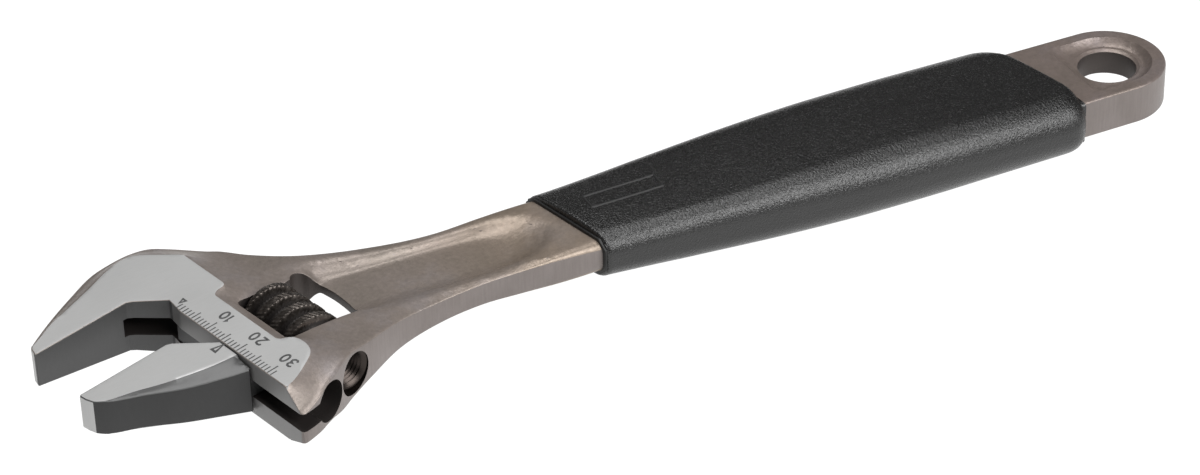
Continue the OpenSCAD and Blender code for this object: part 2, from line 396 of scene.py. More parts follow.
def cut(target, verts, faces, index, mats):
    """Takes a closed solid away from target; the new faces get material number index."""
    tool = mesh_object("cutter", verts, faces, mats, [index] * len(faces))
    mod = target.modifiers.new("cut", "BOOLEAN")
    mod.operation = "DIFFERENCE"
    mod.solver = "EXACT"
    mod.object = tool
    bpy.context.view_layer.update()
    dep = bpy.context.evaluated_depsgraph_get()
    me = bpy.data.meshes.new_from_object(target.evaluated_get(dep))
    target.modifiers.clear()
    old = target.data
    target.data = me
    bpy.data.meshes.remove(old)
    bpy.data.objects.remove(tool)


def prism(plan, z0, z1):
    """A closed prism over a counterclockwise plan in head coordinates (u, j)."""
    n = len(plan)
    xy = [head(u, j) for u, j in plan]
    verts = [(x, y, z0) for x, y in xy] + [(x, y, z1) for x, y in xy]
    area = sum(a[0] * b[1] - b[0] * a[1] for a, b in zip(xy, xy[1:] + xy[:1]))
    faces = [tuple(range(n - 1, -1, -1)), tuple(range(n, 2 * n))]
    faces += [(k, (k + 1) % n, n + (k + 1) % n, n + k) for k in range(n)]
    return verts, faces if area > 0 else [f[::-1] for f in faces]


def ribbon(points, width, closed=False):
    """A thin raised line on the ground face, along head points (u, j)."""
    p = np.array(points, float)
    n = len(p)
    after = np.roll(p, -1, 0) - p
    if not closed:
        after[-1] = after[-2]
    after /= np.linalg.norm(after, axis=1)[:, None]
    before = np.roll(after, 1, 0)
    if not closed:
        before[0] = after[0]
    side = np.stack([-after[:, 1] - before[:, 1], after[:, 0] + before[:, 0]], 1)
    side /= np.linalg.norm(side, axis=1)[:, None]
    grow = np.clip(np.abs(side[:, 0] * -after[:, 1] + side[:, 1] * after[:, 0]), 0.5, 1)
    off = side * (width / 2 / grow)[:, None]
    verts = []
    for q in (p + off, p - off):
        for lift in (MARK_HEIGHT, -0.05):
            verts += [(*head(u, j), ground(j) + lift) for u, j in q]
    faces = []
    for k in range(n if closed else n - 1):
        k2 = (k + 1) % n
        ring, ring2 = (k, n + k, 3 * n + k, 2 * n + k), (k2, n + k2, 3 * n + k2, 2 * n + k2)
        faces += [(ring[i], ring[(i + 1) % 4], ring2[(i + 1) % 4], ring2[i]) for i in range(4)]
    if not closed:
        faces += [(2 * n, 3 * n, n, 0), (n - 1, 2 * n - 1, 4 * n - 1, 3 * n - 1)]
    return verts, faces


# ---------------------------------------------------------------- materials
def material(name, color, metallic, rough):
    m = bpy.data.materials.new(name)
    m.use_nodes = True
    nt = m.node_tree
    bsdf = nt.nodes["Principled BSDF"]
    bsdf.inputs["Base Color"].default_value = (*color, 1)
    bsdf.inputs["Metallic"].default_value = metallic
    bsdf.inputs["Roughness"].default_value = rough
    return m, nt, bsdf


def coordinates(nt, scale, turn=0.0):
    tex = nt.nodes.new("ShaderNodeTexCoord")
    mp = nt.nodes.new("ShaderNodeMapping")
    mp.inputs["Scale"].default_value = scale
    mp.inputs["Rotation"].default_value = (0, 0, turn)
    nt.links.new(tex.outputs["Object"], mp.inputs["Vector"])
    return mp.outputs["Vector"]


def noise(nt, vector, scale, detail=3.0, rough=0.5):
    n = nt.nodes.new("ShaderNodeTexNoise")
    n.inputs["Scale"].default_value = scale
    n.inputs["Detail"].default_value = detail
    n.inputs["Roughness"].default_value = rough
    nt.links.new(vector, n.inputs["Vector"])
    return n.outputs["Fac"]


def ramp(nt, fac, stops):
    r = nt.nodes.new("ShaderNodeValToRGB")
    while len(r.color_ramp.elements) < len(stops):
        r.color_ramp.elements.new(0.5)
    for e, (pos, col) in zip(r.color_ramp.elements, stops):
        e.position = pos
        e.color = (*col, 1) if len(col) == 3 else col
    nt.links.new(fac, r.inputs["Fac"])
    return r.outputs["Color"]


def grey(v):
    return (v, v, v)


def bump(nt, height, strength, distance, after=None):
    b = nt.nodes.new("ShaderNodeBump")
    b.inputs["Strength"].default_value = strength
    b.inputs["Distance"].default_value = distance
    nt.links.new(height, b.inputs["Height"])
    if after is not None:
        nt.links.new(after, b.inputs["Normal"])
    return b.outputs["Normal"]


def forged_material():
    """Plated forging: warm grey, mottled, with the grain of the blasted die."""
    m, nt, bsdf = material("forged_steel", (0.3, 0.26, 0.24), 0.45, 0.42)
    v = coordinates(nt, (1, 1, 1))
    blotch = noise(nt, v, 70, 5, 0.62)
    grain = noise(nt, v, 1500, 3, 0.6)
    warm = ramp(nt, blotch, [(0.32, (0.2, 0.172, 0.147)), (0.52, (0.235, 0.2, 0.176)),
                             (0.7, (0.25, 0.222, 0.212))])
    fine = ramp(nt, noise(nt, v, 1000, 4, 0.7), [(0.32, grey(0.87)), (0.68, grey(1.1))])
    mix = nt.nodes.new("ShaderNodeMix")
    mix.data_type = "RGBA"
    mix.blend_type = "MULTIPLY"
    mix.inputs["Factor"].default_value = 1.0
    nt.links.new(warm, mix.inputs["A"])
    nt.links.new(fine, mix.inputs["B"])
    # Tone changes along the handle: slightly cool over the head, warm where the neck meets the grip, darker
    # and greyer towards the ring.
    split = nt.nodes.new("ShaderNodeSeparateXYZ")
    reach = nt.nodes.new("ShaderNodeMapRange")
    reach.inputs["From Min"].default_value = -0.19
    reach.inputs["From Max"].default_value = 0.01
    nt.links.new(v, split.inputs["Vector"])
    nt.links.new(split.outputs["X"], reach.inputs["Value"])
    tint = ramp(nt, reach.outputs["Result"], [(0.0, (0.97, 0.97, 0.99)), (0.12, (0.97, 0.96, 0.96)),
                                              (0.24, (1.0, 0.94, 0.85)), (0.33, (1.0, 0.94, 0.85)),
                                              (0.85, (0.82, 0.78, 0.79))])
    tone_along_x = nt.nodes.new("ShaderNodeMix")
    tone_along_x.data_type = "RGBA"
    tone_along_x.blend_type = "MULTIPLY"
    tone_along_x.inputs["Factor"].default_value = 1.0
    nt.links.new(mix.outputs["Result"], tone_along_x.inputs["A"])
    nt.links.new(tint, tone_along_x.inputs["B"])
    nt.links.new(tone_along_x.outputs["Result"], bsdf.inputs["Base Color"])
    nt.links.new(ramp(nt, grain, [(0.3, grey(0.34)), (0.7, grey(0.46))]), bsdf.inputs["Roughness"])
    n1 = bump(nt, grain, 0.5, 0.0001)
    nt.links.new(bump(nt, blotch, 0.25, 0.0003, n1), bsdf.inputs["Normal"])
    return m


def shaded_side_material():
    """Linished edge of the forging: short fine scratches across its thickness, on a darker base that paints
    shade on the steep side walls.
    """
    m, nt, bsdf = material("linished_edge_painted_shade", (0.2, 0.18, 0.17), 0.35, 0.42)
    lines = noise(nt, coordinates(nt, (1900, 1900, 160)), 1, 3, 0.6)
    cloud = noise(nt, coordinates(nt, (1, 1, 1)), 90, 4, 0.6)
    base = ramp(nt, cloud, [(0.3, (0.168, 0.145, 0.134)), (0.7, (0.2, 0.175, 0.165))])
    fine = ramp(nt, lines, [(0.3, grey(0.91)), (0.7, grey(1.05))])
    mix = nt.nodes.new("ShaderNodeMix")
    mix.data_type = "RGBA"
    mix.blend_type = "MULTIPLY"
    mix.inputs["Factor"].default_value = 1.0
    nt.links.new(base, mix.inputs["A"])
    nt.links.new(fine, mix.inputs["B"])
    nt.links.new(mix.outputs["Result"], bsdf.inputs["Base Color"])
    nt.links.new(bump(nt, lines, 0.3, 0.00005), bsdf.inputs["Normal"])
    return m


def ground_material(name, color, turn, rough=0.34, metallic=0.35):
    """Fine ground steel with faint parallel scratches."""
    m, nt, bsdf = material(name, color, metallic, rough)
    v = coordinates(nt, (400, 9000, 400), turn)
    lines = noise(nt, v, 1, 3, 0.7)
    cloud = noise(nt, coordinates(nt, (1, 1, 1)), 60, 3, 0.5)
    dark = tuple(c * 0.95 for c in color)
    light = tuple(min(1, c * 1.05) for c in color)
    nt.links.new(ramp(nt, lines, [(0.25, dark), (0.75, light)]), bsdf.inputs["Base Color"])
    nt.links.new(ramp(nt, cloud, [(0.3, grey(rough - 0.03)), (0.7, grey(rough + 0.04))]),
                 bsdf.inputs["Roughness"])
    nt.links.new(bump(nt, lines, 0.1, 0.00002), bsdf.inputs["Normal"])
    return m


def black_oxide():
    """Oiled black oxide, rubbed brown and bright on its high spots."""
    m, nt, bsdf = material("black_oxide", (0.03, 0.027, 0.025), 0.85, 0.3)
    v = coordinates(nt, (1, 1, 1))
    wear = noise(nt, v, 900, 4, 0.65)
    col = ramp(nt, wear, [(0.35, (0.05, 0.042, 0.037)), (0.55, (0.09, 0.078, 0.07)),
                          (0.7, (0.14, 0.122, 0.11))])
    nt.links.new(col, bsdf.inputs["Base Color"])
    nt.links.new(ramp(nt, wear, [(0.3, grey(0.25)), (0.7, grey(0.4))]), bsdf.inputs["Roughness"])
    nt.links.new(bump(nt, wear, 0.3, 0.00006), bsdf.inputs["Normal"])
    return m


def grip_material():
    """Moulded soft plastic with a fine leathery spark-eroded grain."""
    m, nt, bsdf = material("soft_grip", (0.01, 0.01, 0.01), 0.0, 0.45)
    v = coordinates(nt, (1, 1, 1))
    bsdf.inputs["Specular IOR Level"].default_value = 0.66
    grain = noise(nt, v, 4200, 2, 0.5)
    coarse = noise(nt, v, 2300, 2, 0.6)
    cloud = noise(nt, v, 40, 3, 0.5)
    col = ramp(nt, cloud, [(0.3, (0.004, 0.0039, 0.0038)), (0.7, (0.006, 0.0059, 0.0057))])
    nt.links.new(col, bsdf.inputs["Base Color"])
    nt.links.new(ramp(nt, coarse, [(0.3, grey(0.21)), (0.7, grey(0.31))]), bsdf.inputs["Roughness"])
    n1 = bump(nt, grain, 0.6, 0.0001)
    nt.links.new(bump(nt, coarse, 1.0, 0.00016, n1), bsdf.inputs["Normal"])
    return m


def plain_plastic():
    m, nt, bsdf = material("core_plastic", (0.01, 0.01, 0.01), 0.0, 0.6)
    g = noise(nt, coordinates(nt, (1, 1, 1)), 1500, 2, 0.5)
    nt.links.new(ramp(nt, g, [(0.3, grey(0.006)), (0.7, grey(0.013))]), bsdf.inputs["Base Color"])
    nt.links.new(bump(nt, g, 0.2, 0.00004), bsdf.inputs["Normal"])
    return m


def plain_mark():
    m, nt, bsdf = material("etched_mark", (0.05, 0.05, 0.05), 0.0, 0.6)
    g = noise(nt, coordinates(nt, (1, 1, 1)), 1500, 2, 0.5)
    nt.links.new(ramp(nt, g, [(0.3, grey(0.03)), (0.7, grey(0.09))]), bsdf.inputs["Base Color"])
    return m


def spring_wire():
    m, nt, bsdf = material("spring_wire", (0.4, 0.4, 0.4), 0.9, 0.3)
    g = noise(nt, coordinates(nt, (1, 1, 1)), 900, 2, 0.5)
    nt.links.new(ramp(nt, g, [(0.3, grey(0.3)), (0.7, grey(0.5))]), bsdf.inputs["Base Color"])
    return m


FORGED = forged_material()
GROUND = ground_material("ground_steel", (0.45, 0.45, 0.446), -HEAD_ANGLE, 0.4)
# Painted shade: near-black base for the insides of the slot and bores, and the worm's roots and ends.
SHADED_CUT = ground_material("machined_steel_painted_shade", (0.036, 0.031, 0.029), HEAD_ANGLE, 0.45)
BLACK = black_oxide()
GRIP = grip_material()
CORE = plain_plastic()
WIRE = spring_wire()
INNER = ground_material("jaw_inner", (0.066, 0.066, 0.066), HEAD_ANGLE, 0.45)
GUIDE = ground_material("guide_edge", (0.19, 0.187, 0.184), HEAD_ANGLE, 0.42)
MARK = plain_mark()
# Painted shade: near-black base for the deep threaded hole and its counterbore.
THREAD = ground_material("thread_steel_painted_shade", (0.045, 0.037, 0.033), HEAD_ANGLE, 0.35, 0.95)
# Painted shade: near-black forging colour for the window walls and the hang-hole wall.
SHADE = ground_material("painted_shade_walls", (0.05, 0.041, 0.037), 0.0, 0.5)
SHADED_SIDE = shaded_side_material()
BODY_MATS = [FORGED, GROUND, SHADED_CUT, INNER, GUIDE, THREAD, SHADE, SHADED_SIDE]


# ---------------------------------------------------------------- body
def g_drop(u, j, drop, r):
    return hp(u, j, ground(j) - drop, r)


def body_outline(step):
    scale_edge = line([g_drop(-3.5, 0, 0, 0.2), g_drop(-1.9, -0.2, 0, 0.2), g_drop(1, -0.7, 0, 0.25),
                       g_drop(35.6, -0.7, 0, 0.25), hp(40.0, -0.7, 2.5, 0.3), hp(40.5, -0.45, 2.35, 0.3),
                       hp(40.7, 0.2, 2.35, 0.35)], step)
    near = curve([hp(40.7, 0.2, 2.35, 0.35), hp(39.9, 4.2, 3.6, 0.6), hp(38.6, 7.2, 4.7, 0.8),
                  hp(36.6, 12, 5.6, 0.8), hp(34.5, 16.3, 5.7, 0.8), (-183.6, -20.9, 4.6, 0.6),
                  (-175, -16, 3.35, 0.4), (-165, -12.9, 2.65, 0.35), (-155, -11.2, 2.6, 0.35),
                  (-146, -11.05, 2.9, 0.5), (-137, -11.2, 3.5, 1.4), (-129, -11.3, 3.7, 2.3)], step)
    shank_near = line([(-129, -11.3, 3.7, 2.3), (-20, -12.9, 4.5, 0.55)], 4)
    ring_near = line([(-20, -12.9, 4.5, 0.55), (0, -12.7, 4.55, 0.55)], step)
    ring = arc((0, 0), 12.7, -90, 90, step, 4.55, 0.55)
    ring_far = line([(0, 12.7, 4.55, 0.55), (-20, 12.9, 4.5, 0.55)], step)
    shank_far = line([(-20, 12.9, 4.5, 0.55), (-129, 11.3, 3.7, 2.3)], 4)
    far = curve([(-129, 11.3, 3.7, 2.3), (-137, 11.15, 3.5, 1.4), (-146, 10.8, 2.85, 0.4),
                 (-155, 10.4, 2.55, 0.4), (-162, 10.7, 2.55, 0.4), (-169.7, 11.6, 2.85, 0.5),
                 (-178.1, 12.9, 3.4, 0.6), (-186.2, 15.0, 4.1, 0.8), (-193.5, 18.7, 4.55, 0.9),
                 (-198.3, 22.3, 4.75, 0.9), hp(-15.0, 17.3, 4.95, 0.9), hp(-19.9, 11.8, 5.6, 0.9),
                 hp(-22.5, 8.4, 5.85, 0.9), g_drop(-24.1, 4.6, 1.4, 0.9), g_drop(-24.6, 0.2, 1.5, 0.9),
                 g_drop(-24.0, -5.2, 1.4, 0.9), g_drop(-21.2, -12, 1.2, 0.8),
                 g_drop(-17.4, -19.5, 0.8, 0.6), g_drop(-13.2, -26.4, 0.3, 0.4),
                 g_drop(-12.0, -27.7, 0.2, 0.3)], step)
    tip = line([g_drop(-12.0, -27.7, 0.2, 0.3), g_drop(-11.4, -28.1, 0.1, 0.3),
                g_drop(-9.6, -28.5, 0, 0.25), g_drop(-9.4, -28.3, 0, 0.2),
                g_drop(-9.4, -6.5, 0, 0.2), g_drop(-8.7, -5.4, 0, 0.2), g_drop(-3.5, 0, 0, 0.2)], step)
    return join(scale_edge, near, shank_near, ring_near, ring, ring_far, shank_far, far, tip)


def window_loop(step):
    front = line([hp(6.2, 10.2, 5.5, 0.25), hp(21.4, 10.2, 5.55, 0.25)], step)
    near = curve([hp(21.4, 10.2, 5.55, 0.25), hp(22.2, 10.7, 5.6, 0.25), hp(22.5, 11.8, 5.65, 0.3),
                  hp(22.5, 16, 5.45, 0.3), hp(22.5, 22, 5.0, 0.3), hp(22.4, 27.0, 4.25, 0.3)], step)
    back = curve([hp(22.4, 27.0, 4.25, 0.3), hp(21.6, 28.3, 3.5, 0.3), hp(20, 29.1, 2.2, 0.25),
                  hp(18.2, 29.7, 1.15, 0.2), hp(15, 30.2, 1.05, 0.2), hp(11, 30.4, 1.05, 0.2),
                  hp(8, 30.2, 1.05, 0.2), hp(6.3, 29.9, 1.1, 0.2), hp(5.3, 29.3, 1.9, 0.25),
                  hp(4.6, 28.55, 2.9, 0.25), hp(3.6, 27.6, 3.6, 0.25), hp(3.2, 26.3, 4.0, 0.25),
                  hp(3.5, 25.1, 4.2, 0.25), hp(4.6, 24.0, 4.3, 0.25)], step * 0.6)
    far = line([hp(4.6, 24.0, 4.3, 0.25), hp(5.0, 22.5, 4.4, 0.3), hp(5.0, 19.8, 4.6, 0.3),
                hp(5.0, 15, 5.1, 0.3), hp(5.1, 11.2, 5.45, 0.25), hp(5.4, 10.5, 5.5, 0.25),
                hp(6.2, 10.2, 5.5, 0.25)], step)
    return join(front, near, back, far)


def body_ground_edge(step):
    jaw = [(-11.6, -29.2), (-12, -27.5), (-13.3, -24.4), (-15, -20.9), (-17, -14.6), (-19, -8.2),
           (-20.7, -3.6), (-21.5, 1.0), (-21.1, 3.2), (-19.7, 5.2), (-16.5, 8.2), (-14.3, 10.2),
           (-13.4, 10.9)]
    notch = [(0, 10.9), (0.9, 10.4), (1.2, 8.6), (1.9, 7.5), (3, 7.3)]
    bump_ = [(22.2, 7.25), (23.2, 7.8), (23.8, 8.9), (25, 10.0), (27.5, 10.4), (29.9, 9.9),
             (31.3, 8.9), (32.9, 6.5), (35.1, 2.4), (36, -0.7), (36.4, -2.0)]

    def lift(points):
        return [hp(u, j, ground(j)) for u, j in points]
    return join(curve(lift(jaw), step), line(lift([(-13.4, 10.9), (0, 10.9)]), step),
                curve(lift(notch), step * 0.6), line(lift([(3, 7.3), (22.2, 7.25)]), step),
                curve(lift(bump_), step))


def between(top, foot, t):
    """A contour part of the way down a hollow slope, from its rim to its foot."""
    def spread(line_):
        d = np.concatenate([[0], np.cumsum(np.linalg.norm(np.diff(line_[:, :2], axis=0), axis=1))])
        s = np.linspace(0, 1, 100)
        return np.stack([np.interp(s * d[-1], d, line_[:, k]) for k in range(3)], 1)
    a, b = spread(top), spread(foot)
    out = a + (b - a) * t
    bow = 1.1 + 0.6 * np.sin(np.linspace(0, math.pi, len(out))) ** 2
    out[:, 2] = b[:, 2] + (a[:, 2] - b[:, 2]) * (1 - t) ** bow
    return out[2:-2]


def make_body():
    step = 0.6
    edge = body_ground_edge(step)
    around = [hp(38, -4), hp(-1, -4), hp(-7.5, -8), hp(-7.5, -31), hp(-11.6, -31)]
    flat = np.vstack([edge[:, :2], np.array(around)])
    valley = line([hp(-12.2, 19.9, 4.72), hp(0.3, 19.9, 4.7)], step)
    rim = curve([hp(0.3, 19.9, 4.7), (-190.3, 9.9, 4.5), (-185.5, 10.5, 4.25), (-181.2, 10.3, 3.95),
                 (-175, 9.5, 3.6), (-166.4, 8.7, 3.1), (-160, 8.5, 2.95), (-152, 8.5, 3.0),
                 (-145, 8.2, 3.3), (-140, 7.3, 3.55), (-136.2, 4.9, 3.65), (-134.1, 1.3, 3.67),
                 (-134, -1.6, 3.67), (-137.4, -5.5, 3.62), (-143, -8.0, 3.35), (-150, -8.9, 3.0),
                 (-158, -8.8, 2.92), (-165, -9.1, 3.0), (-172, -9.8, 3.4), (-179, -10.3, 3.95),
                 (-181.4, -10.05, 4.15)], step)
    panel = curve([(-183.7, 7.1, 1.05), (-178.4, 7.1, 1.05), (-167.4, 6.9, 1.05), (-158, 6.6, 1.05),
                   (-151, 6.0, 1.05), (-147.5, 4.6, 1.05), (-145.6, 2.2, 1.05), (-145.3, -0.3, 1.05),
                   (-146.3, -2.6, 1.05), (-149, -4.1, 1.05), (-155, -4.4, 1.05), (-163, -4.6, 1.05),
                   (-172.5, -4.95, 1.05), (-180.3, -5.3, 1.05)], step)
    recess = join(line([(0, 9.75, 4.5), (-8.8, 9.95, 4.45), (-9.3, 9.5, 4.45), (-9.0, -9.5, 4.45),
                        (-8.5, -9.95, 4.45), (0, -9.75, 4.5)], step), arc((0, 0), 9.75, -90, 90, step, 4.5))
    groove = join(line([(0, 8.2, 2.8), (-6.3, 7.9, 3.2), (-7.3, 7.0, 3.25), (-7.4, 0, 3.15),
                        (-7.3, -7.0, 3.25), (-6.3, -7.9, 3.2), (0, -8.2, 2.8)], step),
                  arc((0, 0), 8.2, -90, 90, step, 2.8))
    collar = arc((0, 0), 7.1, 0, 359, step * 0.8, 3.15)
    closed = [np.vstack([q, q[:1]]) for q in (recess, groove, collar)]
    hole = arc((0, 0), 6.4, 0, 355, 0.5, 2.7, 0.12)
    near_bevel = curve([(-181, -14.2, 4.2), (-173, -11.5, 3.45), (-166, -10.8, 3.05),
                        (-159, -10.15, 2.92), (-150, -9.8, 3.02), (-143, -9.85, 3.35),
                        (-135, -10.35, 3.66)], step)
    slopes = [between(rim[rim[:, 0] > -184.4], panel, t) for t in (0.2, 0.4, 0.6, 0.8)]
    spacing = [((-260, -128), 0.75), ((-128, -18), 4.0), ((-18, 20), 0.5)]
    soften = [(valley, 1.2, 2), (rim, 1.3, 7), (panel, 0.8, 2), (groove, 0.9, 3)]

    def under(xy, z):
        """The lobe's lower edge is cut back less than its upper edge."""
        u, j = head_u(xy), head_j(xy)
        low = ground(j) - 0.34 * np.maximum(u - 36, 0) - 0.2 * np.maximum(j, 0)
        return np.where((u > 36) & (j < 9), np.maximum(z, low), z)
    v, f, mat = relief(body_outline(step), [window_loop(step), hole],
                       [edge, valley, rim, panel, near_bevel] + slopes + closed, flat,
                       lambda xy: ground(head_j(xy)), spacing, soften, under)
    ob = mesh_object("wrench_body", v, f, BODY_MATS, mat)
    along = (U[0], U[1], 0)

    def at(j, u=0.0):
        return (*head(u, j), 0.0)
    slot = [(46, -3), (46, RACK_J), (-19.5, RACK_J), (-19.5, -0.5), (-10.4, -7.5), (-6, -7.5), (-1.5, -3)]
    # Cut faces take material 2, the painted-shade cut steel.
    cut(ob, *prism(slot, -SLOT_HALF, SLOT_HALF), 2, BODY_MATS)
    cut(ob, *lathe([(-22, BORE_R), (46, BORE_R)], at(RACK_J), along, 64), 2, BODY_MATS)
    cut(ob, *lathe([(5.0, WORM_R + 0.4), (22.5, WORM_R + 0.4)], at(WORM_J), along, 64), 2, BODY_MATS)
    cut(ob, *lathe([(-3, 1.85), (8, 1.85)], at(WORM_J), along, 32), 2, BODY_MATS)
    thread = [(THREAD_START - 2.6, THREAD_MINOR)]
    for k in range(THREAD_TURNS):
        thread += [(THREAD_START + THREAD_PITCH * k, THREAD_MINOR),
                   (THREAD_START + THREAD_PITCH * (k + 0.5), THREAD_MAJOR)]
    thread += [(31.6, 3.6), (32.3, 4.35), (32.35, COUNTERBORE_R), (46, COUNTERBORE_R)]
    # The threaded hole takes material 5, the painted-shade thread steel.
    cut(ob, *lathe(thread, at(WORM_J), along, 64), 5, BODY_MATS)
    paint_body(ob.data)
    finish_normals(ob.data, 30)
    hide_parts("body")
    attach(ob, "wrench_body")
    return ob


def paint_body(me):
    """Gives the jaw face, the throat and the guide edge their machined finish; paints shade on the window and
    hang-hole walls, and gives the other steep walls a darker shaded copy of the forging.
    """
    for f in me.polygons:
        if f.material_index != 0 or abs(f.normal.z) > 0.6:
            continue
        c = np.array(f.center[:2]) / MM
        u, j = head_u(c), head_j(c)
        if -10.2 < u < -2.4 and j < 0.4:
            f.material_index = 3
        elif -2.4 <= u < 40.0 and j < 0.0:
            f.material_index = 4
        elif u <= -9.5 and j < -28.0:
            f.material_index = 1
        # Window walls and hang-hole wall: painted shade.
        elif (2.4 < u < 23.2 and 10.0 < j < 31.5) or math.hypot(*c) < 6.9:
            f.material_index = 6
        # Other steep walls: darker copy of the forging, painted shade.
        elif abs(f.normal.z) < 0.5:
            f.material_index = 7


def digit(which, u, j):
    """Centre line of a digit 2.3 mm high whose top points to the scale edge."""
    shapes = {
        "0": [(0.75 * math.cos(a), 1.3 * math.sin(a)) for a in np.linspace(0, 2 * math.pi, 21)[:-1]],
        "1": [(0.45, 0.75), (0, 1.3), (0, -1.3)],
        "2": [(0.8, 0.75), (0.6, 1.15), (0, 1.3), (-0.6, 1.1), (-0.75, 0.6), (-0.4, 0.0), (0.75, -1.3),
              (-0.8, -1.3)],
        "3": [(0.75, 0.95), (0.3, 1.3), (-0.35, 1.25), (-0.7, 0.8), (-0.55, 0.25), (0.0, 0.05),
              (-0.65, -0.2), (-0.8, -0.7), (-0.4, -1.2), (0.25, -1.3), (0.8, -0.9)]}
    return [(u + 0.87 * x, j - 0.87 * y) for x, y in shapes[which]], which == "0"


def make_scale():
    """Millimetre scale from 0 to 31 with its zero mark, as thin inlaid lines."""
    verts, faces = [], []

    def add(points, width, closed=False):
        v, f = ribbon(points, width, closed)
        faces.extend([tuple(i + len(verts) for i in q) for q in f])
        verts.extend(v)
    for n in range(32):
        length = 2.6 if n % 10 == 0 and n else 2.3 if n % 5 == 0 and n else 1.5
        add([(n - 0.4, -0.4), (n - 0.4, length - 0.3)], 0.3)
    add([(-1.2, 0.95), (-1.7, 2.2), (-0.7, 2.2)], 0.45, True)
    for first, at in (("1", 10.4), ("2", 21.0), ("3", 31.0)):
        add(digit(first, at, 4.75)[0], 0.5)
        points, closed = digit("0", at - (1.5 if first == "1" else 2.3), 4.75)
        add(points, 0.5, closed)
    ob = mesh_object("scale_marks", verts, faces, [MARK], sharp=30)
    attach(ob, "wrench_body")


# ---------------------------------------------------------------- sliding jaw
def make_jaw():
    step = 0.6
    side = curve([g_drop(11.3, -29.1, 0, 0.25), g_drop(12.6, -27.9, 0.02, 0.25),
                  g_drop(13.9, -25.9, 0.2, 0.25), g_drop(15.9, -21.4, 0.6, 0.35),
                  g_drop(20.1, -14, 1.0, 0.4), g_drop(23.0, -7, 1.2, 0.4), g_drop(25, -1.5, 1.25, 0.3)], step)
    rest = line([g_drop(25, -1.5, 1.25, 0.3), g_drop(24.6, -0.95, 1.2, 0.25), g_drop(14.9, -0.95, 0, 0.2),
                 g_drop(8.0, -7.7, 0, 0.2), g_drop(7.5, -8.8, 0, 0.2), g_drop(7.5, -29.4, 0, 0.2),
                 g_drop(7.9, -29.85, 0, 0.25), g_drop(9.6, -29.65, 0, 0.25),
                 g_drop(11.3, -29.1, 0, 0.25)], step)
    outline = join(side, rest)
    edge = curve([hp(u, j, ground(j)) for u, j in
                  [(12.95, -26.9), (13.35, -25.9), (14.8, -21.5), (16.7, -17), (18.1, -13),
                   (19.8, -6.9), (20.6, -2.0), (20.65, -1.3)]], step)
    ridge = curve([hp(u, j, ground(j) - d) for u, j, d in
                   [(15.5, -20.6, 0.32), (17.7, -16.0, 0.5), (19.6, -12, 0.6), (21.9, -6, 0.72),
                    (23.4, -1.6, 0.78)]], step)
    around = [hp(20.65, 2), hp(13, 2), hp(5, -7), hp(5, -31), hp(12, -31), hp(13.2, -27.6)]
    flat = np.vstack([edge[:, :2], np.array(around)])
    v, f, mat = relief(outline, [], [edge, ridge], flat, lambda xy: ground(head_j(xy)),
                       [((-260, -180), 0.8)], [])
    ob = mesh_object("jaw_block", v, f, [BEVEL, GROUND, JAW_SIDE_SHADE], mat)
    # Side walls get the painted-shade jaw side, except at the tip end.
    for face in ob.data.polygons:
        if face.material_index == 0 and abs(face.normal.z) < 0.5:
            c = np.array(face.center[:2]) / MM
            face.material_index = 1 if head_j(c) < -28.4 and head_u(c) < 11.5 else 2
    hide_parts("sliding_jaw")
    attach(ob, "jaw")
    plan = [(24.5, -2.0), (24.5, RACK_J), (-1.3, RACK_J), (-1.3, -0.2), (15.0, -0.2), (15.1, -2.0)]
    web = mesh_object("jaw_web", *prism(plan, -WEB_HALF, WEB_HALF), [JAW_SIDE_SHADE])
    mod = web.modifiers.new("edge", "BEVEL")
    mod.width = 0.25 * MM
    mod.segments = 2
    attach(web, "jaw")
    rows, sides = 230, 96
    u0, u1 = -3.3, 29.9
    lead = math.tan(math.radians(6.4))
    verts, faces = [], []
    for i in range(rows + 1):
        u = u0 + (u1 - u0) * i / rows
        end = min(u - u0, u1 - u)
        r = RACK_R - max(0.0, 0.5 - end)
        for k in range(sides):
            a = 2 * math.pi * k / sides
            dj, z = r * math.cos(a), r * math.sin(a)
            phase = (u - lead * z - CREST_OVER_RACK) / PITCH
            off = abs(phase - round(phase)) * PITCH
            limit = 9.6 + max(0.0, off - 0.8) / 0.283
            jj = min(RACK_J + dj, max(limit, 9.6))
            verts.append((*head(u, jj), z))
    for i in range(rows):
        for k in range(sides):
            k2 = (k + 1) % sides
            faces.append((i * sides + k, (i + 1) * sides + k, (i + 1) * sides + k2, i * sides + k2))
    faces.append(tuple(range(sides)))
    faces.append(tuple(range((rows + 1) * sides - 1, rows * sides - 1, -1)))
    rod = mesh_object("rack_rod", verts, faces, [RACK])
    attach(rod, "jaw")
    v, f = ribbon([(16.2, -1.0), (15.55, -3.5), (16.85, -3.5)], 0.55, True)
    pointer = mesh_object("jaw_pointer", v, f, [MARK])
    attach(pointer, "jaw")


